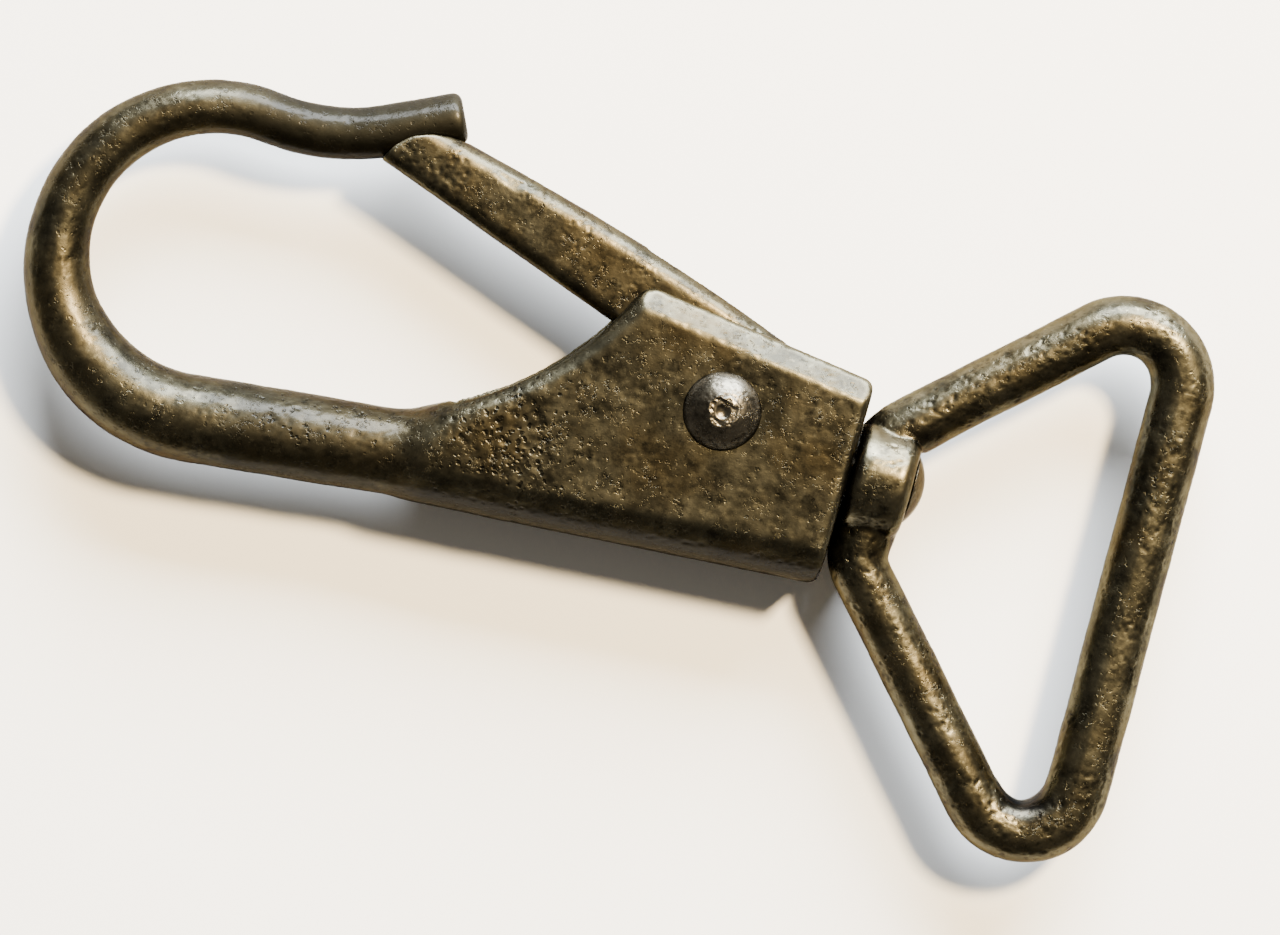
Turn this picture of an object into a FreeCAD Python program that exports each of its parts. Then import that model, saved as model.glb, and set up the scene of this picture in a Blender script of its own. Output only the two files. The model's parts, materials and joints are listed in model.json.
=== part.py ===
import FreeCAD, Part
import math
import os

# A forged swivel snap hook: a round hook bar that grows out of a slotted housing, a sprung gate on a
# rivet, and a triangular webbing link that swivels on a stud in the housing's end wall.
#
# Design frame, millimetres: the gate's pivot is the origin, X runs along the swivel axis towards the
# link, Y points to the gate's side, Z goes across the flat cheeks. The last step moves every piece so
# that the origin is the bottom centre of the whole part.

os.makedirs("parts", exist_ok=True)
Vector = FreeCAD.Vector
ALONG_X = Vector(1, 0, 0)
ALONG_Z = Vector(0, 0, 1)
BEYOND = 60.0               # larger than any piece, for the reach of cutting tools

# Hook bar: centre line and thickness.
SHANK_TILT = 6.6            # degrees, the shank's slope against the swivel axis
BOW_CENTRE = (-54.1, 0.2)
BOW_RADIUS = 16.1           # centre line of the round bow
BOW_DIP = 6.0               # degrees the bow carries on past its top before it turns back up
LIP_RADIUS = 22.0           # reverse bend between the bow and the tip
TIP_ANGLE = 25.5            # degrees, direction in which the tip points
TIP_LENGTH = 8.0            # straight length at the tip
TIP_EDGE = 0.9              # rounding of the tip's end
SHANK_LENGTH = 28.0         # straight length, its end buried in the housing
SHANK_RADIUS = 4.55
TIP_RADIUS = 2.72
BOW_STEPS = 14
BOW_STATIONS = (            # heading of the bow's bar in degrees, its radius there
    (180 + SHANK_TILT, SHANK_RADIUS),
    (165, 4.5),
    (145, 4.2),
    (120, 3.6),
    (90, 3.2),
    (60, 3.02),
    (30, 2.86),
    (0, 2.74),
    (-BOW_DIP, TIP_RADIUS),
)

# Housing.
CHEEK_OUT = 5.65            # half the housing's thickness
CHEEK_IN = 3.45             # half the slot's width
THROAT_ARC = ((-33.0, -8.95), (-18.9, -1.2), (-10.9, 10.4))
END_TOP = (14.4, 7.15)
END_BOTTOM = (14.4, -14.6)
SPINE_START = (-33.0, -18.25)
RUN_OUT_START = -30.6       # the round bar opens out into the flat cheeks over a cone from here
RUN_OUT_END = -21.5
RUN_OUT_SLOPE = 0.55        # radius gained per millimetre along the shank
RUN_OUT_STEP = 0.1          # how far the cone starts under the round bar's skin
SPINE_CROWN = 6.0           # radius of the round back, its centre at mid thickness
CHEEK_ROUND = 1.9
END_ROUND = 1.1
TOP_BEVEL_WIDTH = 2.4       # bevel along each cheek's top edge
TOP_BEVEL_DROP = 1.3
SLOT_FLOOR = -10.5
SLOT_START = -26.8
SLOT_RAMP_TOP = -8.6
SLOT_RAMP_END = -20.0
END_WALL = 3.9

# Gate.
GATE_HALF = 3.3
GATE_NOSE = ((-40.5, 15.2), (-39.6, 16.9), (-38.2, 18.3), (-36.2, 19.1), (-33.4, 19.5))
GATE_BACK = ((-32.3, 19.2), (-12.4, 14.2), (4.4, 8.7))
GATE_UNDER = ((-11.0, 4.95), (-37.6, 14.2))
GATE_HEEL_RADIUS = 9.8
GATE_HEEL_END = 28.0        # degrees
GATE_HUB = 5.8
GATE_HUB_ARC = (-8.0, -95.0, 172.0)    # degrees, start, middle and end of the hub's free outline
GATE_BACK_ROUND = 2.1
GATE_UNDER_ROUND = 1.5
FORK_HALF = 1.75            # half the gap between the gate's two ears
FORK_START = -11.6
TIP_GAP = 0.18              # between the closed gate and the tip
SEAT_RUN = 5.0              # how far the seat for the tip runs on past each end of the tip

# Rivet.
RIVET_SHANK = 2.4
RIVET_HEAD = 4.1
RIVET_HEAD_HEIGHT = 2.0
RIVET_TAIL = 3.8
RIVET_TAIL_HEIGHT = 1.4
RIVET_DIMPLE = 1.6          # radius of the ball-shaped centre mark in the head
RIVET_DIMPLE_DEPTH = 0.3

# Spring.
WIRE = 0.425
COIL = 3.35                 # mean radius
COIL_TURNS = 2
COIL_PITCH = 0.92
SPRING_ON_GATE = (-13.1, 4.75)
SPRING_ON_FLOOR = (-14.0, SLOT_FLOOR + WIRE + 0.02)

# Swivel.
SWIVEL_Y = -2.5
STUD_SHANK = 2.4
STUD_HEAD = 3.8
STUD_HEAD_HEIGHT = 1.45
STUD_TAIL = 3.0
STUD_TAIL_HEIGHT = 1.2
WASHER_RADIUS = 3.25
WASHER_THICKNESS = 0.8
RUNNING_GAP = 0.05          # radial, between a turning piece and its pin
HEAD_GAP = 0.3              # round and under the stud's head

# Link.
LUG_RADIUS = 5.85
LUG_START = 14.75
LUG_END = 21.0
LUG_ROUND = 1.5
LINK_BAR = 3.1
LINK_CORNERS = ((17.85, 2.35), (45.6, 28.0), (47.1, -43.2), (17.85, -11.15))
LINK_BENDS = (3.6, 6.3, 5.8, 3.4)


def unit(angle):
    """Direction in the XY plane, angle in degrees."""
    return Vector(math.cos(math.radians(angle)), math.sin(math.radians(angle)), 0)


def flat(point):
    return Vector(point[0], point[1], 0)


def segment(first, second):
    return Part.LineSegment(first, second).toShape()


def arc(first, middle, last):
    return Part.Arc(flat(first), flat(middle), flat(last)).toShape()


def prism(edges, low, high):
    """Solid between two heights over a closed outline drawn at z = 0."""
    face = Part.Face(Part.Wire(edges))
    face.translate(Vector(0, 0, low))
    return face.extrude(Vector(0, 0, high - low))


def polygon(points):
    corners = [flat(point) for point in points]
    return Part.makePolygon(corners + [corners[0]]).Edges


def dome(radius, height):
    """Round rivet head on z = 0, a cap of a sphere."""
    ball = (radius ** 2 + height ** 2) / (2 * height)
    cap = Part.makeSphere(ball, Vector(0, 0, height - ball))
    return cap.common(Part.makeCylinder(radius, height))


def middle_of(edge):
    return edge.valueAt((edge.FirstParameter + edge.LastParameter) / 2)


def rounded(shape, radius, wanted):
    """Round the edges whose middle point passes the test."""
    edges = [edge for edge in shape.Edges if wanted(middle_of(edge))]
    return shape.makeFillet(radius, edges)


def bar_section(point, heading, radius):
    return Part.Wire(Part.Circle(point, unit(heading), radius).toShape())


def bar_radius(heading):
    """Radius of the bow's bar where it points along a heading, between the two nearest stations."""
    for (high, large), (low, small) in zip(BOW_STATIONS, BOW_STATIONS[1:]):
        if heading >= low:
            share = (heading - low) / (high - low)
            return small + (large - small) * share
    return TIP_RADIUS


def shank_line(distance):
    """Point on the shank's centre line, measured back from the bow towards the housing."""
    heading = 180 + SHANK_TILT
    bow_start = flat(BOW_CENTRE) + unit(heading + 90) * BOW_RADIUS
    return bow_start - unit(heading) * distance


def bow_point(heading):
    """Centre line of the bow where the bar points along a heading."""
    return flat(BOW_CENTRE) + unit(heading + 90) * BOW_RADIUS


def lip_end():
    """Where the reverse bend ends and the straight tip starts."""
    lip_centre = bow_point(-BOW_DIP) + unit(90 - BOW_DIP) * LIP_RADIUS
    return lip_centre - unit(90 + TIP_ANGLE) * LIP_RADIUS


def shank():
    first = shank_line(SHANK_LENGTH)
    return Part.makeCylinder(SHANK_RADIUS, SHANK_LENGTH, first, shank_line(0) - first)


def bow():
    """Tapering round bow, thick where it leaves the shank and thin at its top."""
    start = 180 + SHANK_TILT
    sections = []
    for step in range(BOW_STEPS + 1):
        heading = start - (start + BOW_DIP) * step / BOW_STEPS
        sections.append(bar_section(bow_point(heading), heading, bar_radius(heading)))
    return Part.makeLoft(sections, True)


def lip():
    """Reverse bend between the bow and the tip."""
    start = bow_point(-BOW_DIP)
    centre = start + unit(90 - BOW_DIP) * LIP_RADIUS
    ring = Part.Face(bar_section(start, -BOW_DIP, TIP_RADIUS))
    return ring.revolve(centre, ALONG_Z, TIP_ANGLE + BOW_DIP)


def tip():
    bar = Part.makeCylinder(TIP_RADIUS, TIP_LENGTH, lip_end(), unit(TIP_ANGLE))
    end = lip_end() + unit(TIP_ANGLE) * TIP_LENGTH
    return rounded(bar, TIP_EDGE, lambda spot: (spot - end).Length < TIP_RADIUS + 0.1)


def hook_bar():
    """Round bar from inside the housing, round the bow, to the tip."""
    return shank().fuse([bow(), lip(), tip()])


def run_out_waste():
    """What is trimmed off the housing's left end, so that it opens out of the round bar."""
    start = shank_line((RUN_OUT_START - shank_line(0).x) / math.cos(math.radians(SHANK_TILT)))
    back = unit(SHANK_TILT)
    length = 2 * (RUN_OUT_END - RUN_OUT_START)
    radius = SHANK_RADIUS - RUN_OUT_STEP
    cone = Part.makeCone(radius, radius + length * RUN_OUT_SLOPE, length, start, back)
    bar = Part.makeCylinder(radius, BEYOND, start - back * BEYOND, back)
    corner = Vector(RUN_OUT_END - BEYOND, start.y - BEYOND / 2, -BEYOND / 2)
    waste = Part.makeBox(BEYOND, BEYOND, BEYOND, corner)
    return waste.cut(cone.fuse(bar))


def crowned_back():
    """Everything inside the housing's round back, whose crown runs along the spine."""
    start = flat(SPINE_START)
    along = (flat(END_BOTTOM) - start).normalize()
    inward = ALONG_Z.cross(along)
    first = start - along * BEYOND + inward * SPINE_CROWN
    last = start + along * 2 * BEYOND + inward * SPINE_CROWN
    crown = Part.makeCylinder(SPINE_CROWN, (last - first).Length, first, along)
    above = polygon((first, last, last + inward * BEYOND, first + inward * BEYOND))
    return crown.fuse(prism(above, -BEYOND, BEYOND))


def top_bevel_waste():
    """Wedges that bevel the top edge of both cheeks."""
    start = flat(THROAT_ARC[2])
    along = (flat(END_TOP) - start).normalize()
    inward = along.cross(ALONG_Z)
    wedges = []
    for side in (-1, 1):
        inner = start - along * CHEEK_ROUND + inward * TOP_BEVEL_WIDTH + Vector(0, 0, side * CHEEK_OUT)
        slope = Vector(0, 0, -side * TOP_BEVEL_DROP) - inward * TOP_BEVEL_WIDTH
        outer = inner + slope * 2
        corners = (inner, outer, outer + Vector(0, 0, 2 * side * CHEEK_OUT), inner)
        wedges.append(Part.Face(Part.makePolygon(corners)).extrude(along * BEYOND))
    return wedges


def housing():
    """The slotted housing's outside: rounded top, throat and end, crowned back, bevelled cheeks."""
    outline = [
        arc(*THROAT_ARC),
        segment(flat(THROAT_ARC[2]), flat(END_TOP)),
        segment(flat(END_TOP), flat(END_BOTTOM)),
        segment(flat(END_BOTTOM), flat(SPINE_START)),
        segment(flat(SPINE_START), flat(THROAT_ARC[0])),
    ]
    block = prism(outline, -CHEEK_OUT, CHEEK_OUT)
    spine_top = max(SPINE_START[1], END_BOTTOM[1])

    def on_top(spot):
        on_edge = abs(spot.z) > CHEEK_OUT - 0.1 and THROAT_ARC[0][0] < spot.x < END_TOP[0] - 0.2
        return on_edge and spot.y > spine_top

    def on_mouth_or_top(spot):
        return on_top(spot) or (abs(spot.z) < 0.1 and spot.y > END_TOP[1] + 1)

    block = rounded(block, CHEEK_ROUND, on_mouth_or_top)
    block = rounded(block, END_ROUND, lambda spot: spot.x > END_TOP[0] - 0.01)
    return block.common(crowned_back()).cut(top_bevel_waste()).cut(run_out_waste())


def slot_space():
    """The space between the cheeks: open above and at the throat, closed by the floor and end wall."""
    inner_end = END_TOP[0] - END_WALL
    outline = [
        (SLOT_START, BEYOND),
        (SLOT_START, SLOT_RAMP_TOP),
        (SLOT_RAMP_END, SLOT_FLOOR),
        (inner_end, SLOT_FLOOR),
        (inner_end, BEYOND),
    ]
    return prism(polygon(outline), -CHEEK_IN, CHEEK_IN)


def hook_body():
    body = hook_bar().fuse(housing())
    rivet_hole = Part.makeCylinder(RIVET_SHANK, 4 * CHEEK_OUT, Vector(0, 0, -2 * CHEEK_OUT))
    stud_start = Vector(END_TOP[0] - 1.5 * END_WALL, SWIVEL_Y, 0)
    stud_hole = Part.makeCylinder(STUD_SHANK, 2 * END_WALL, stud_start, ALONG_X)
    return body.cut(slot_space()).cut(rivet_hole).cut(stud_hole)


def gate_outline():
    heel_start = math.degrees(math.atan2(GATE_BACK[2][1], GATE_BACK[2][0]))
    heel_end = unit(GATE_HEEL_END) * GATE_HEEL_RADIUS
    heel_corner = unit(heel_start) * GATE_HEEL_RADIUS
    hub_right, hub_bottom, hub_left = [unit(angle) * GATE_HUB for angle in GATE_HUB_ARC]
    heel_middle = unit((heel_start + GATE_HEEL_END) / 2) * GATE_HEEL_RADIUS
    nose = [flat(point) for point in GATE_NOSE]
    edges = [segment(first, second) for first, second in zip(nose, nose[1:])]
    edges.append(segment(nose[-1], flat(GATE_BACK[0])))
    edges.append(Part.Arc(flat(GATE_BACK[0]), flat(GATE_BACK[1]), heel_corner).toShape())
    edges.append(Part.Arc(heel_corner, heel_middle, heel_end).toShape())
    edges.append(segment(heel_end, hub_right))
    edges.append(Part.Arc(hub_right, hub_bottom, hub_left).toShape())
    edges.append(segment(hub_left, flat(GATE_UNDER[0])))
    edges.append(segment(flat(GATE_UNDER[0]), flat(GATE_UNDER[1])))
    edges.append(segment(flat(GATE_UNDER[1]), nose[0]))
    return edges


def tip_clearance():
    """The tip's bar grown by the gap and run on past its end, to shape the seat in the gate's nose."""
    start = lip_end() - unit(TIP_ANGLE) * SEAT_RUN
    length = TIP_LENGTH + 2 * SEAT_RUN
    return Part.makeCylinder(TIP_RADIUS + TIP_GAP, length, start, unit(TIP_ANGLE))


def gate():
    tongue = prism(gate_outline(), -GATE_HALF, GATE_HALF)
    under_middle = (flat(GATE_UNDER[0]) + flat(GATE_UNDER[1])) / 2

    def on_back(spot):
        return spot.z != 0 and (flat(spot) - flat(GATE_BACK[1])).Length < 3

    def on_under(spot):
        return spot.z != 0 and (flat(spot) - under_middle).Length < 3

    tongue = rounded(tongue, GATE_BACK_ROUND, on_back)
    tongue = rounded(tongue, GATE_UNDER_ROUND, on_under)
    tongue = tongue.cut(tip_clearance())
    bore = Part.makeCylinder(RIVET_SHANK + RUNNING_GAP, 4 * GATE_HALF, Vector(0, 0, -2 * GATE_HALF))
    fork = Part.makeBox(BEYOND, BEYOND, 2 * FORK_HALF, Vector(FORK_START, -BEYOND / 2, -FORK_HALF))
    return tongue.cut(bore).cut(fork)


def gate_rivet():
    """Round-headed rivet, its head on the front cheek and its tail upset on the back one."""
    shank = Part.makeCylinder(RIVET_SHANK, 2 * CHEEK_OUT, Vector(0, 0, -CHEEK_OUT))
    head = dome(RIVET_HEAD, RIVET_HEAD_HEIGHT)
    head.translate(Vector(0, 0, CHEEK_OUT))
    dimple_height = CHEEK_OUT + RIVET_HEAD_HEIGHT + RIVET_DIMPLE - RIVET_DIMPLE_DEPTH
    dimple = Part.makeSphere(RIVET_DIMPLE, Vector(0, 0, dimple_height))
    tail = dome(RIVET_TAIL, RIVET_TAIL_HEIGHT)
    tail.rotate(Vector(0, 0, 0), ALONG_X, 180)
    tail.translate(Vector(0, 0, -CHEEK_OUT))
    return shank.fuse([head, tail]).cut(dimple).removeSplitter()


def tangent_point(end, side):
    """Where the straight leg that ends at a point touches the coil; side is 1 or -1."""
    end = flat(end)
    away = math.degrees(math.atan2(end.y, end.x))
    spread = math.degrees(math.acos(COIL / end.Length))
    return unit(away + side * spread) * COIL


def gate_spring():
    """Torsion spring: a coil round the rivet, one leg under the gate and one on the slot's floor."""
    gate_leg = tangent_point(SPRING_ON_GATE, -1)
    floor_leg = tangent_point(SPRING_ON_FLOOR, 1)
    start = math.degrees(math.atan2(floor_leg.y, floor_leg.x))
    finish = math.degrees(math.atan2(gate_leg.y, gate_leg.x))
    turns = COIL_TURNS + ((finish - start) % 360) / 360
    height = turns * COIL_PITCH
    helix = Part.makeHelix(COIL_PITCH, height, COIL)
    wire_end = Part.Wire(Part.Circle(Vector(COIL, 0, 0), Vector(0, 1, 0), WIRE).toShape())
    coil = Part.Wire(helix).makePipeShell([wire_end], True, True)
    coil.rotate(Vector(0, 0, 0), ALONG_Z, start)
    coil.translate(Vector(0, 0, -height / 2))
    pieces = []
    for contact, leg_start, level in ((SPRING_ON_GATE, gate_leg, height / 2),
                                      (SPRING_ON_FLOOR, floor_leg, -height / 2)):
        first = leg_start + Vector(0, 0, level)
        last = flat(contact) + Vector(0, 0, level)
        pieces.append(Part.makeSphere(WIRE, first))
        pieces.append(Part.makeCylinder(WIRE, (last - first).Length, first, last - first))
    return coil.fuse(pieces)


def swivel_stud():
    """Headed stud: dome inside the link, shank through lug and end wall, tail upset over the washer."""
    head_start = LUG_END + HEAD_GAP / 2
    head = dome(STUD_HEAD, STUD_HEAD_HEIGHT)
    head.rotate(Vector(0, 0, 0), Vector(0, 1, 0), 90)
    head.translate(Vector(head_start, SWIVEL_Y, 0))
    tail_start = Vector(END_TOP[0] - END_WALL - WASHER_THICKNESS, SWIVEL_Y, 0)
    shank = Part.makeCylinder(STUD_SHANK, head_start - tail_start.x, tail_start, ALONG_X)
    tail = dome(STUD_TAIL, STUD_TAIL_HEIGHT)
    tail.rotate(Vector(0, 0, 0), Vector(0, 1, 0), -90)
    tail.translate(tail_start)
    return shank.fuse([head, tail]).removeSplitter()


def swivel_washer():
    start = Vector(END_TOP[0] - END_WALL - WASHER_THICKNESS, SWIVEL_Y, 0)
    disc = Part.makeCylinder(WASHER_RADIUS, WASHER_THICKNESS, start, ALONG_X)
    return disc.cut(Part.makeCylinder(STUD_SHANK, WASHER_THICKNESS, start, ALONG_X))


def bent_bar(corners, bends, radius):
    """Closed loop of round bar: straight runs joined by tangent bends."""
    corners = [flat(corner) for corner in corners]
    count = len(corners)
    pieces = []
    starts = []
    ends = []
    for index, corner in enumerate(corners):
        before = (corners[index - 1] - corner).normalize()
        after = (corners[(index + 1) % count] - corner).normalize()
        half = before.getAngle(after) / 2
        reach = bends[index] / math.tan(half)
        starts.append(corner + before * reach)
        ends.append(corner + after * reach)
        centre = corner + (before + after).normalize() * (bends[index] / math.sin(half))
        ring = Part.Face(Part.Wire(Part.Circle(starts[-1], before, radius).toShape()))
        turn = 180 - math.degrees(2 * half)
        spin = before.cross(after).z
        pieces.append(ring.revolve(centre, Vector(0, 0, -1 if spin > 0 else 1), turn))
    for index in range(count):
        run = starts[(index + 1) % count] - ends[index]
        pieces.append(Part.makeCylinder(radius, run.Length, ends[index], run))
    return pieces[0].fuse(pieces[1:]).removeSplitter()


def delta_link():
    """Triangular link with a thick barrel lug at its apex, cleared round the stud's head."""
    lug = Part.makeCylinder(LUG_RADIUS, LUG_END - LUG_START, Vector(LUG_START, SWIVEL_Y, 0), ALONG_X)
    lug = rounded(lug, LUG_ROUND, lambda spot: spot.x < LUG_START + 0.1 or spot.x > LUG_END - 0.1)
    link = bent_bar(LINK_CORNERS, LINK_BENDS, LINK_BAR).fuse(lug)
    behind_corner = Vector(LUG_START - BEYOND, SWIVEL_Y - BEYOND / 2, -BEYOND / 2)
    behind = Part.makeBox(BEYOND, BEYOND, BEYOND, behind_corner)
    bore_start = Vector(LUG_START - 1, SWIVEL_Y, 0)
    bore = Part.makeCylinder(STUD_SHANK + RUNNING_GAP, 2 * (LUG_END - LUG_START), bore_start, ALONG_X)
    head_start = Vector(LUG_END, SWIVEL_Y, 0)
    head_room = Part.makeCylinder(STUD_HEAD + HEAD_GAP, 2 * STUD_HEAD_HEIGHT, head_start, ALONG_X)
    return link.cut(behind).cut(bore).cut(head_room).removeSplitter()


pieces = {
    "hook_body": hook_body(),
    "gate": gate(),
    "gate_rivet": gate_rivet(),
    "gate_spring": gate_spring(),
    "swivel_stud": swivel_stud(),
    "swivel_washer": swivel_washer(),
    "delta_link": delta_link(),
}
box = Part.makeCompound(list(pieces.values())).optimalBoundingBox(False)
to_origin = Vector(-box.Center.x, -box.Center.y, -box.ZMin)
for name, shape in pieces.items():
    shape.translate(to_origin)
    shape.exportStep("parts/" + name + ".step")
    print(name, "solids", len(shape.Solids), "valid", shape.isValid(), "volume", round(shape.Volume, 2))
print("pivot", [round(value, 3) for value in to_origin])
print("size", [round(value, 3) for value in (box.XLength, box.YLength, box.ZLength)])
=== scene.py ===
import json
import math

import bpy
import numpy as np
from mathutils import Matrix, Vector, noise
from mathutils.bvhtree import BVHTree


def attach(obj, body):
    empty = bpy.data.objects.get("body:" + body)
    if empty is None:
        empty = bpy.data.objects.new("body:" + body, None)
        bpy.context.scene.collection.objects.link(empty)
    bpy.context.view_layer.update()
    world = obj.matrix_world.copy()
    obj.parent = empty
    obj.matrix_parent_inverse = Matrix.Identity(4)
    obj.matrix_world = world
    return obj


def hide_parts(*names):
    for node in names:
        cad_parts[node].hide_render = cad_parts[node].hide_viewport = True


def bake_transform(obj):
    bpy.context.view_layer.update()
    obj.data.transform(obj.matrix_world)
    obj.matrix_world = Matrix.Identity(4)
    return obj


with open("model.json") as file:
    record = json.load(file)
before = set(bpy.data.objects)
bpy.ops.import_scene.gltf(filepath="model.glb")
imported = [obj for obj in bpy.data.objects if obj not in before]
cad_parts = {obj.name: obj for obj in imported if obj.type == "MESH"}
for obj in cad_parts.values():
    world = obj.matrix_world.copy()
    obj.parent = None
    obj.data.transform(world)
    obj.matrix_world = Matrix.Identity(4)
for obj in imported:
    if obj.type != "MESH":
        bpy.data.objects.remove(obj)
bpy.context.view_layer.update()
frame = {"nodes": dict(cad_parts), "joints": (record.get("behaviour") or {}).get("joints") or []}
noise.seed_set(1)           # unseeded, Blender's vector noise starts from the clock and the pits move each run

MM = 0.001
PIVOT = Vector(frame["joints"][0]["pos_m"])
PART_TURN = 16.0            # degrees, how far the swivel axis dips to the right in the picture

HOOK_VOXEL = 0.28 * MM
LINK_VOXEL = 0.21 * MM
GATE_VOXEL = 0.16 * MM
SMALL_VOXEL = 0.10 * MM
SPRING_VOXEL = 0.09 * MM

ROOM = 0.6 * MM             # closer than this to another piece, the skin may sink but not swell
SWELL_SIZE = 7 * MM         # spacing of the slow unevenness
HEAVY_PIT_SIZE = 0.8 * MM
EDGE_ROUNDS = 6             # smoothing rounds that an edge is compared with
EDGE_HEIGHT = 0.12 * MM     # an edge standing out this far counts as fully worn
BASE_PITTED = 0.35          # how ready ordinary skin is to show the material's own small holes
GREASE_AND_JOINT_SHADE_SPOTS = (            # grease, and painted shade in the joints: place from the pivot and reach in mm, strength
    ((41.4, -30.0, 0), (2.6, 2.2, 4), 1.0),
    ((14.7, -2.5, 0), (0.8, 9.0, 7), 0.8),
    ((21.3, -5.6, 0), (1.2, 3.2, 4), 0.7),
    ((20.5, 2.6, 1), (2.2, 1.6, 4), 0.5),
    ((-9.5, 7.5, 0), (3.0, 3.0, 3.4), 0.6),
)

OLIVE_DARK = (0.015, 0.0138, 0.0088, 1)
OLIVE_LIGHT = (0.046, 0.042, 0.027, 1)
RUST_BROWN = (0.034, 0.026, 0.012, 1)
BARE_DARK = (0.048, 0.043, 0.032, 1)
BARE_LIGHT = (0.115, 0.104, 0.08, 1)
BARE_BROWN = (0.07, 0.052, 0.028, 1)
WIRE_DARK = (0.06, 0.055, 0.05, 1)
WIRE_LIGHT = (0.13, 0.125, 0.11, 1)
# near black for grease and for the painted shade in the joints
GREASE_AND_JOINT_SHADE_BLACK = (0.006, 0.005, 0.004, 1)
STEEL_TINT = (0.40, 0.38, 0.33, 1)
PAPER = (0.82, 0.815, 0.80, 1)


def from_pivot(x, y, z=0.0):
    """Point in the shared frame, given in millimetres from the gate's pivot at mid thickness."""
    return PIVOT + Vector((x, y, z)) * MM


# ---------------------------------------------------------------- meshes

def coordinates(mesh):
    flat = np.empty(len(mesh.vertices) * 3)
    mesh.vertices.foreach_get("co", flat)
    return flat.reshape(-1, 3)


def normals(mesh):
    flat = np.empty(len(mesh.vertices) * 3)
    mesh.vertices.foreach_get("normal", flat)
    return flat.reshape(-1, 3)


def move_to(mesh, points):
    mesh.vertices.foreach_set("co", points.ravel())
    mesh.update()


def neighbour_mean(mesh, values):
    """Mean of each vertex's neighbours along the mesh's edges."""
    ends = np.empty(len(mesh.edges) * 2, int)
    mesh.edges.foreach_get("vertices", ends)
    ends = ends.reshape(-1, 2)
    total = np.zeros_like(values)
    count = np.zeros(len(values))
    for a, b in ((0, 1), (1, 0)):
        np.add.at(total, ends[:, a], values[ends[:, b]])
        np.add.at(count, ends[:, a], 1)
    return total / count.reshape(-1, *([1] * (values.ndim - 1)))


def smooth(mesh, rounds):
    points = coordinates(mesh)
    for _ in range(rounds):
        points = 0.5 * points + 0.5 * neighbour_mean(mesh, points)
    move_to(mesh, points)


def rise(values, start, length):
    """0 up to the start, then rising evenly to 1 over the length."""
    return np.clip((values - start) / length, 0, 1)


def attribute(mesh, name, values):
    layer = mesh.attributes.new(name, "FLOAT", "POINT")
    layer.data.foreach_set("value", values.astype(np.float32))


def remeshed(node, voxel, rounds):
    """A fine even mesh of a CAD node, with its sharp edges just broken."""
    mesh = frame["nodes"][node].data.copy()
    piece = bpy.data.objects.new(node + "_skin", mesh)
    bpy.context.scene.collection.objects.link(piece)
    modifier = piece.modifiers.new("remesh", "REMESH")
    modifier.mode = "VOXEL"
    modifier.voxel_size = voxel
    depsgraph = bpy.context.evaluated_depsgraph_get()
    fine = bpy.data.meshes.new_from_object(piece.evaluated_get(depsgraph))
    piece.modifiers.clear()
    piece.data = fine
    smooth(fine, rounds)
    for polygon in fine.polygons:
        polygon.use_smooth = True
    return piece


def pit_pattern(points, size, share, seed):
    """0 on sound skin to 1 in the middle of a pit; share is how much of the skin is pitted."""
    waver = 0.35
    patch_size = 0.21
    smallest, growth = 0.25, 0.45
    depth = np.empty(len(points))
    for index, point in enumerate(points):
        place = Vector(point) / size + Vector((seed, 0, 0))
        nearest = noise.voronoi(place + noise.noise_vector(place * 1.7) * waver)[0][0]
        patch = noise.noise(place * patch_size + Vector((0, seed, 0))) * 0.5 + 0.5
        depth[index] = max(0.0, 1.0 - nearest / (smallest + growth * patch)) * (patch > 1 - share)
    return depth


def soft_noise(points, size, seed):
    return np.array([noise.fractal(Vector(p) / size + Vector((0, 0, seed)), 0.8, 2.0, 3) for p in points])


def room_around(points, node):
    """0 where another CAD piece almost touches the skin, 1 where the nearest one is ROOM or more away."""
    clear = np.full(len(points), ROOM)
    for other, part in frame["nodes"].items():
        if other == node:
            continue
        corners = [vertex.co for vertex in part.data.vertices]
        faces = [polygon.vertices for polygon in part.data.polygons]
        tree = BVHTree.FromPolygons(corners, faces)
        for index, point in enumerate(points):
            found = tree.find_nearest(Vector(point), clear[index])
            if found[3] is not None:
                clear[index] = min(clear[index], found[3])
    return np.clip(clear / ROOM, 0, 1)


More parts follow.
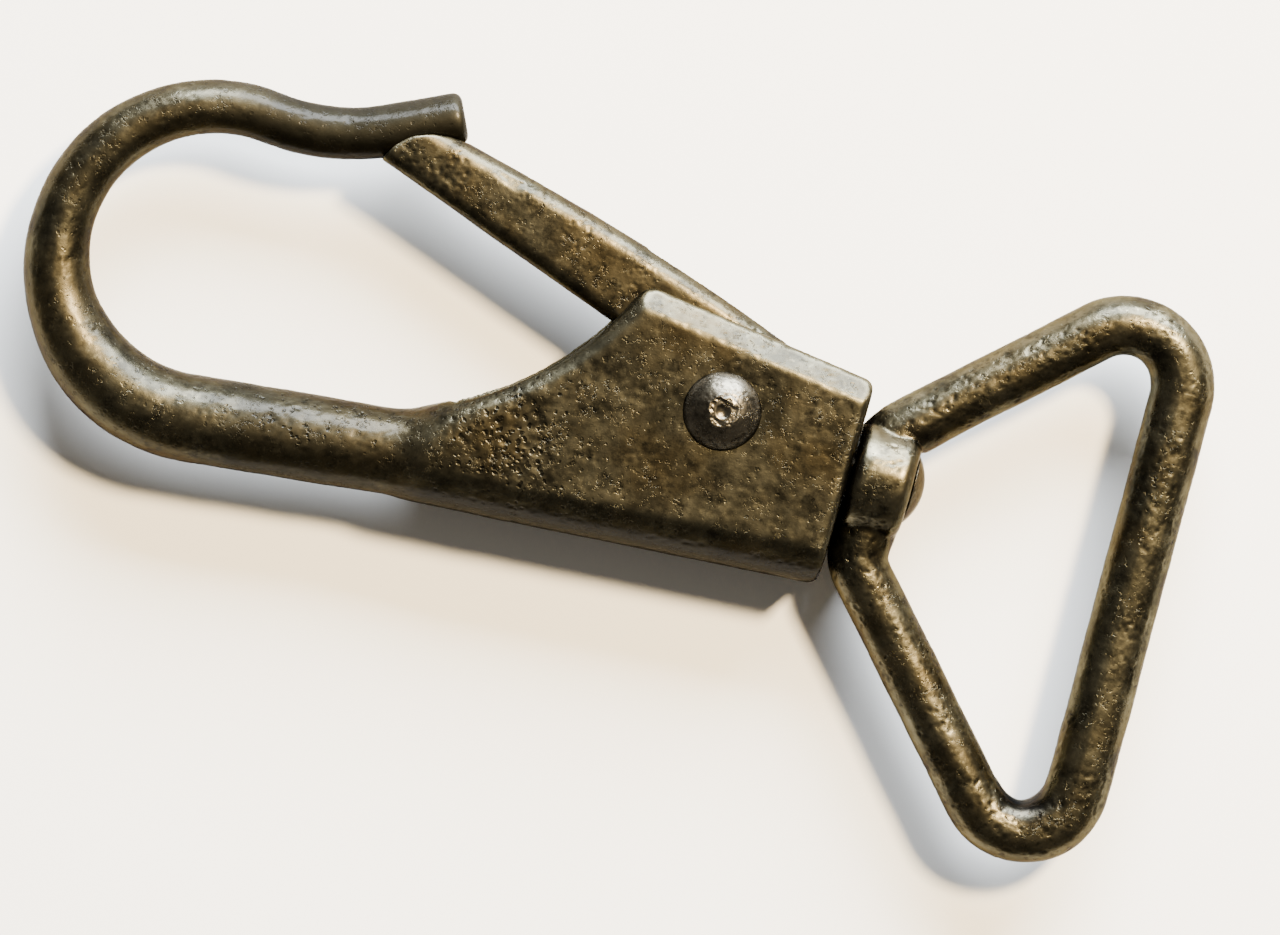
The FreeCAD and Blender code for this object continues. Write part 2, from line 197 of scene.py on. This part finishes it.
def weather(piece, node, seed, swell, pit_depth, pit_size=0.85 * MM, pit_share=0.5, heavy=None, film=0.0):
    """Forging skin: slow unevenness and pits pressed into the mesh, and what the material has to know."""
    mesh = piece.data
    points = coordinates(mesh)
    outward = normals(mesh)
    crowded = np.zeros(len(points)) if heavy is None else heavy(points)
    slow = np.clip(soft_noise(points, SWELL_SIZE, seed), -1, 1)
    pits = pit_pattern(points, pit_size, pit_share, seed)
    small = pit_pattern(points, 0.6 * pit_size, share=0.65, seed=seed + 3.3)
    depth = pit_depth * (pits + 0.4 * small)
    if heavy is not None:
        heavy_pits = pit_pattern(points, HEAVY_PIT_SIZE, share=1.0, seed=seed + 5)
        depth = 0.6 * depth + pit_depth * crowded * heavy_pits
    # grease, and painted shade in the joints between the pieces
    grease_and_joint_shade_mask = grease_and_joint_shade(points)
    offset = swell * slow - depth * (1 - np.clip(grease_and_joint_shade_mask, 0, 1)) + film * grease_and_joint_shade_mask
    offset = np.where(offset > 0, offset * room_around(points, node), offset)
    rounded = points
    for _ in range(EDGE_ROUNDS):
        rounded = neighbour_mean(mesh, rounded)
    edge = ((points - rounded) * outward).sum(1)
    move_to(mesh, points + outward * offset.reshape(-1, 1))
    attribute(mesh, "pit", np.clip(depth / pit_depth, 0, 1.5))
    attribute(mesh, "edge", np.clip(edge / EDGE_HEIGHT, -1, 1))
    attribute(mesh, "pitted", BASE_PITTED + crowded)
    # grease with painted shade in the joints between the pieces
    attribute(mesh, "grease_and_joint_shade", np.clip(grease_and_joint_shade_mask, 0, 1))
    # dull skin on the hook's lip and shank, and painted shade under its crowned back
    attribute(mesh, "grime_and_back_shade", grime_and_back_shade(points) if node == "hook_body" else np.zeros(len(points)))


def grime_and_back_shade(points):
    """Dull dark skin on the hook's lip and tip and along the shank's pitted top, and painted shade on the band
    under the crowned back.
    """
    x, y = ((points - np.array(PIVOT)) / MM).T[:2]
    shank_middle, shank_reach = -41, 9
    ridge = -11.7 + 0.077 * (x - 14.4)
    lip = rise(x, -60, 8) * rise(y, 8, 4) * rise(-x, 28, 2)
    shank = np.clip(1.4 - np.abs(x - shank_middle) / shank_reach, 0, 0.7) * rise(-y, 9, 3)
    # painted shade: the band below the crowned back's ridge is darkened
    back = rise(x, -33, 6) * rise(ridge - y, 0, 1.2)
    return np.maximum(np.maximum(lip, shank), back)


def grease_and_joint_shade(points):
    """Black grease in the link's inner corner, and painted shade darkening the joints between the pieces."""
    total = np.zeros(len(points))
    for spot, size, depth in GREASE_AND_JOINT_SHADE_SPOTS:
        away = np.linalg.norm((points - np.array(from_pivot(*spot))) / (MM * np.array(size)), axis=1)
        total = np.maximum(total, depth * np.clip(1.6 - away, 0, 1))
    return total


def finish_piece(piece, name, body, material, node):
    """Give the skin its name and material, tie it to its body and let it stand in for its CAD node."""
    piece.name = name
    piece.data.name = name
    piece.data.materials.clear()
    piece.data.materials.append(material)
    if body is not None:
        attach(piece, body)
    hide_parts(node)


# ---------------------------------------------------------------- materials

class Graph:
    """Small helper that wires shader nodes."""

    def __init__(self, name):
        self.material = bpy.data.materials.new(name)
        self.material.use_nodes = True
        self.tree = self.material.node_tree
        self.tree.nodes.clear()

    def node(self, kind, inputs=(), **settings):
        made = self.tree.nodes.new(kind)
        for key, value in settings.items():
            setattr(made, key, value)
        for socket, value in dict(inputs).items():
            if isinstance(value, bpy.types.NodeSocket):
                self.tree.links.new(value, made.inputs[socket])
            else:
                made.inputs[socket].default_value = value
        return made

    def math(self, operation, first, second, clamp=False):
        made = self.node("ShaderNodeMath", {0: first, 1: second}, operation=operation, use_clamp=clamp)
        return made.outputs[0]

    def ramp(self, factor, low, high):
        """Factor stretched so that low gives 0 and high gives 1."""
        made = self.node("ShaderNodeMapRange", {"Value": factor, "From Min": low, "From Max": high})
        return made.outputs[0]

    def noise(self, place, scale, detail, rough):
        """Noise from 0 to 1; scale is how many waves go into a metre."""
        inputs = {"Vector": place, "Scale": scale, "Detail": detail, "Roughness": rough}
        return self.node("ShaderNodeTexNoise", inputs).outputs[0]

    def patches(self, place, scale, detail, rough, low, high):
        """Patches of noise: 0 where the noise is at low and 1 where it is at high."""
        return self.ramp(self.noise(place, scale, detail, rough), low, high)

    def mix(self, factor, first, second):
        made = self.node("ShaderNodeMix", {0: factor, 6: first, 7: second}, data_type="RGBA")
        return made.outputs[2]

    def lay(self, colour, where, share, over):
        """Colour with another one laid over it, as strong as share where the mask is 1."""
        return self.mix(self.math("MULTIPLY", where, share), colour, over)

    def attribute(self, name):
        return self.node("ShaderNodeAttribute", attribute_name=name).outputs["Fac"]


def scaled(colour, factor):
    return tuple(factor * channel for channel in colour[:3]) + (1,)


def small_holes(graph, place, pitted):
    """Crisp holes finer than the mesh, crowding together where the skin is marked as pitted."""
    bend = {"Vector": place, "Scale": 1300.0, "Detail": 2.0}
    wander = graph.node("ShaderNodeTexNoise", bend).outputs["Color"]
    shift = graph.node("ShaderNodeVectorMath", {0: wander, "Scale": 0.7 * MM}, operation="SCALE").outputs[0]
    shifted = graph.node("ShaderNodeVectorMath", {0: place, 1: shift}, operation="ADD").outputs[0]
    cell = graph.node("ShaderNodeTexVoronoi", {"Vector": shifted, "Scale": 1500.0}).outputs["Distance"]
    sound = graph.patches(place, 620, 3, 0.6, 0.60, 0.50)
    crowd = graph.math("SUBTRACT", pitted, sound, clamp=True)
    return graph.math("MULTIPLY", graph.ramp(cell, 0.40, 0.24), crowd)


def oiled_steel(name, dark, light, brown, roughness=0.37):
    """Dark oiled steel: mottled skin, brown stains, dirt in the pits, rubbed edges, fine grain."""
    graph = Graph(name)
    place = graph.node("ShaderNodeTexCoord").outputs["Object"]
    # grease, and painted shade in the joints between the pieces
    grease_and_joint_shade_mask = graph.attribute("grease_and_joint_shade")
    # dull skin, and painted shade under the hook's crowned back
    dull_and_back_shade = graph.attribute("grime_and_back_shade")
    hole = small_holes(graph, place, graph.attribute("pitted"))
    sunk = graph.ramp(graph.attribute("pit"), 0.10, 0.90)
    worn = graph.ramp(graph.attribute("edge"), 0.10, 0.75)
    mottle = graph.patches(place, 260, 6, 0.62, 0.38, 0.64)
    stain = graph.patches(place, 95, 5, 0.55, 0.44, 0.62)
    patch = graph.patches(place, 420, 6, 0.7, 0.54, 0.63)
    crowd = graph.patches(place, 330, 3, 0.6, 0.46, 0.62)
    speck = graph.math("MULTIPLY", graph.patches(place, 1700, 3, 0.7, 0.575, 0.615), crowd)
    scuff = graph.patches(place, 1100, 4, 0.7, 0.58, 0.74)

    colour = graph.mix(mottle, dark, light)
    colour = graph.lay(colour, stain, 0.6, brown)
    colour = graph.lay(colour, patch, 0.7, scaled(dark, 0.4))
    colour = graph.lay(colour, scuff, 0.45, scaled(light, 2.0))
    colour = graph.lay(colour, speck, 0.7, scaled(dark, 0.25))
    colour = graph.lay(colour, worn, 0.55, scaled(light, 2.2))
    colour = graph.lay(colour, sunk, 0.65, scaled(dark, 0.30))
    # darker where the skin is dull, and painted shade under the hook's crowned back
    colour = graph.lay(colour, dull_and_back_shade, 0.85, scaled(dark, 0.35))
    colour = graph.lay(colour, hole, 0.85, scaled(dark, 0.2))
    # near black for grease and for the painted shade in the joints
    colour = graph.mix(grease_and_joint_shade_mask, colour, GREASE_AND_JOINT_SHADE_BLACK)

    unevenness = 0.36
    gloss = graph.math("MULTIPLY", graph.noise(place, 600, 5, 0.65), unevenness)
    rough = graph.math("ADD", gloss, roughness - unevenness / 2)
    rough = graph.math("ADD", rough, graph.math("MULTIPLY", dull_and_back_shade, 0.22))
    rough = graph.math("SUBTRACT", rough, graph.math("MULTIPLY", grease_and_joint_shade_mask, 0.16), clamp=True)

    fine = graph.math("MULTIPLY", graph.noise(place, 3200, 3, 0.65), 0.35)
    coarse = graph.math("MULTIPLY", graph.noise(place, 1100, 4, 0.62), 0.35)
    height = graph.math("ADD", fine, coarse)
    height = graph.math("SUBTRACT", height, graph.math("MULTIPLY", speck, 0.8))
    height = graph.math("SUBTRACT", height, graph.math("MULTIPLY", hole, 1.6))
    grain = {"Height": height, "Strength": 0.5, "Distance": 0.06 * MM}
    bump = graph.node("ShaderNodeBump", grain).outputs[0]

    shader = graph.node("ShaderNodeBsdfPrincipled", {
        "Base Color": colour,
        "Metallic": 1.0,
        "Roughness": rough,
        "Normal": bump,
        "Specular Tint": STEEL_TINT,
        "Coat Weight": 0.14,
        "Coat Roughness": 0.24,
        "Coat Normal": bump,
    })
    graph.node("ShaderNodeOutputMaterial", {"Surface": shader.outputs[0]})
    return graph.material


def floor_material():
    graph = Graph("floor_paper")
    shader = graph.node("ShaderNodeBsdfPrincipled", {"Base Color": PAPER, "Roughness": 0.8})
    graph.node("ShaderNodeOutputMaterial", {"Surface": shader.outputs[0]})
    return graph.material


# ---------------------------------------------------------------- pieces

def hook_heavy(points):
    """Heavier pits where the round shank opens into the housing and along the shank's top."""
    run_out = np.array(from_pivot(-20, -8.5, 5))
    run_out_reach = 6.5 * MM
    shank_middle = from_pivot(-42, 0).x
    shank_reach = 9 * MM
    shank_axis = from_pivot(0, -17).y
    shank_top = from_pivot(0, -8).y
    away = np.linalg.norm(points - run_out, axis=1) / run_out_reach
    along = np.abs(points[:, 0] - shank_middle) / shank_reach
    upper = rise(points[:, 1], shank_axis, 3 * MM) * (points[:, 1] < shank_top)
    return 1.6 * np.exp(-away ** 2) + 0.8 * np.exp(-along ** 2) * upper


def soften_run_out(piece):
    """The flat cheeks run out softly into the round shank; the slot's inner faces stay as they are."""
    centre = np.array([-27.5, -11.5, 0])
    reach = np.array([6.5, 9.0, 9.0])
    slot_half, slot_bottom, slot_start = 3.7, -11.5, -28
    mesh = piece.data
    points = coordinates(mesh)
    local = (points - np.array(PIVOT)) / MM
    away = np.linalg.norm((local - centre) / reach, axis=1)
    weight = np.clip(1.5 - away, 0, 1)
    in_slot = (np.abs(local[:, 2]) < slot_half) & (local[:, 1] > slot_bottom) & (local[:, 0] > slot_start)
    weight[in_slot] = 0
    weight = weight.reshape(-1, 1)
    for _ in range(70):
        points = points + 0.7 * weight * (neighbour_mean(mesh, points) - points)
    move_to(mesh, points)


def fill_side_bar(piece):
    """The link's far bar is a little fuller than its arms, on the side that the webbing bears on."""
    fullness = 0.45 * MM
    bar_start = from_pivot(39.5, 0).x
    mesh = piece.data
    points = coordinates(mesh)
    outward = normals(mesh)
    far = rise(points[:, 0], bar_start, 3 * MM)
    facing = np.clip(-outward[:, 0], 0, 1)
    move_to(mesh, points + outward * (fullness * far * facing).reshape(-1, 1))


def sink_rivet_centre(piece):
    """Ragged shallow crater that the riveting punch left in the round head, inside a low lip."""
    bowl_edge, bowl_slope, bowl_depth = 1.45, 0.4, 0.14
    lip_radius, lip_width, lip_height = 1.6, 0.16, 0.05
    mesh = piece.data
    points = coordinates(mesh)
    away = np.linalg.norm(points[:, :2] - np.array(PIVOT)[:2], axis=1) / MM
    ragged = away + 0.35 * soft_noise(points, 0.8 * MM, seed=4.0)
    bowl = np.clip(bowl_edge - ragged, 0, bowl_slope) / bowl_slope
    lip = np.exp(-((ragged - lip_radius) / lip_width) ** 2)
    on_head = points[:, 2] > PIVOT.z + 5 * MM
    points[:, 2] += on_head * (lip_height * lip - bowl_depth * bowl) * MM
    move_to(mesh, points)


body_steel = oiled_steel("hook_body_steel", OLIVE_DARK, OLIVE_LIGHT, RUST_BROWN)
gate_steel = oiled_steel("gate_steel", scaled(OLIVE_DARK, 1.2), scaled(OLIVE_LIGHT, 1.2),
                         scaled(RUST_BROWN, 1.3))
link_steel = oiled_steel("link_steel", scaled(OLIVE_DARK, 1.6), scaled(OLIVE_LIGHT, 1.8),
                         scaled(RUST_BROWN, 1.7), roughness=0.33)
rivet_steel = oiled_steel("rivet_steel", BARE_DARK, BARE_LIGHT, BARE_BROWN, roughness=0.3)
spring_wire = oiled_steel("spring_wire_steel", WIRE_DARK, WIRE_LIGHT, RUST_BROWN, roughness=0.28)

hook = remeshed("hook_body", HOOK_VOXEL, rounds=3)
soften_run_out(hook)
weather(hook, "hook_body", seed=1.0, swell=0.07 * MM, pit_depth=0.12 * MM, heavy=hook_heavy)
finish_piece(hook, "hook_body_forging", "hook", body_steel, "hook_body")

gate = remeshed("gate", GATE_VOXEL, rounds=4)
weather(gate, "gate", seed=5.0, swell=0.05 * MM, pit_depth=0.08 * MM, pit_share=0.45)
finish_piece(gate, "gate_forging", "gate", gate_steel, "gate")

link = remeshed("delta_link", LINK_VOXEL, rounds=5)
fill_side_bar(link)
weather(link, "delta_link", seed=9.0, swell=0.07 * MM, pit_depth=0.09 * MM, film=0.30 * MM)
finish_piece(link, "delta_link_bar", "link", link_steel, "delta_link")

for seed, node, name, slot_name in (
        (20.0, "gate_rivet", "gate_rivet_round_head", "rivet_steel"),
        (21.0, "swivel_stud", "swivel_stud_domed_head", "stud_steel"),
        (22.0, "swivel_washer", "swivel_washer_ring", "washer_steel")):
    small = remeshed(node, SMALL_VOXEL, rounds=3)
    if node == "gate_rivet":
        sink_rivet_centre(small)
    weather(small, node, seed, swell=0.03 * MM, pit_depth=0.035 * MM, pit_size=0.7 * MM)
    finish_piece(small, name, "hook", rivet_steel, node)

spring = remeshed("gate_spring", SPRING_VOXEL, rounds=4)
weather(spring, "gate_spring", seed=30.0, swell=0.01 * MM, pit_depth=0.02 * MM, pit_size=0.5 * MM)
finish_piece(spring, "gate_spring_wire", None, spring_wire, "gate_spring")
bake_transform(spring)


# ---------------------------------------------------------------- floor, light, camera

def stage_floor():
    size = 3.0
    mesh = bpy.data.meshes.new("floor")
    corners = [(-size, -size, 0), (size, -size, 0), (size, size, 0), (-size, size, 0)]
    mesh.from_pydata(corners, [], [(0, 1, 2, 3)])
    floor = bpy.data.objects.new("floor", mesh)
    mesh.materials.append(floor_material())
    bpy.context.scene.collection.objects.link(floor)


def direction(turn, height):
    """Unit vector; turn in degrees counter-clockwise from the picture's right, height above the floor."""
    across = math.radians(turn + PART_TURN)
    up = math.radians(height)
    return Vector((math.cos(across) * math.cos(up), math.sin(across) * math.cos(up), math.sin(up)))


def area_light(name, turn, height, distance, size, power, colour):
    """Rectangular light that shines at the middle of the part."""
    data = bpy.data.lights.new(name, "AREA")
    data.shape = "RECTANGLE"
    data.size = size[0]
    data.size_y = size[1]
    data.energy = power
    data.color = colour
    lamp = bpy.data.objects.new(name, data)
    target = Vector((0, 0, 0.007))
    lamp.location = target + direction(turn, height) * distance
    lamp.rotation_euler = (target - lamp.location).to_track_quat("-Z", "Y").to_euler()
    bpy.context.scene.collection.objects.link(lamp)


def surroundings(colour, strength):
    world = bpy.data.worlds.new("studio")
    world.use_nodes = True
    background = world.node_tree.nodes["Background"]
    background.inputs["Color"].default_value = colour
    background.inputs["Strength"].default_value = strength
    bpy.context.scene.world = world


def picture_camera():
    """Nearly straight down, turned so that the swivel axis dips to the right."""
    reach = 0.60
    width = 0.13196             # metres across the picture at the part's mid height
    tilt_to = 135.0             # degrees, the side the camera leans to
    tilt = 3.0
    sensor = 36.0
    centre = from_pivot(-6.24, -7.96)
    data = bpy.data.cameras.new("camera")
    data.sensor_width = sensor
    data.lens = sensor * reach / width
    data.clip_start = 0.01
    camera = bpy.data.objects.new("camera", data)
    camera.location = centre + direction(tilt_to, 90 - tilt) * reach
    backward = (camera.location - centre).normalized()
    picture_up = direction(90, 0)
    right = picture_up.cross(backward).normalized()
    upward = backward.cross(right)
    turn = Matrix((right, upward, backward)).transposed()
    camera.rotation_euler = turn.to_euler()
    bpy.context.scene.collection.objects.link(camera)
    bpy.context.scene.camera = camera


stage_floor()
area_light("window", turn=74, height=28, distance=1.5, size=(1.3, 0.7), power=215, colour=(0.88, 0.94, 1.0))
area_light("lamp", turn=42, height=55, distance=1.0, size=(0.14, 0.14), power=50, colour=(1.0, 0.76, 0.44))
surroundings(colour=(1.0, 0.90, 0.76, 1), strength=0.20)
picture_camera()
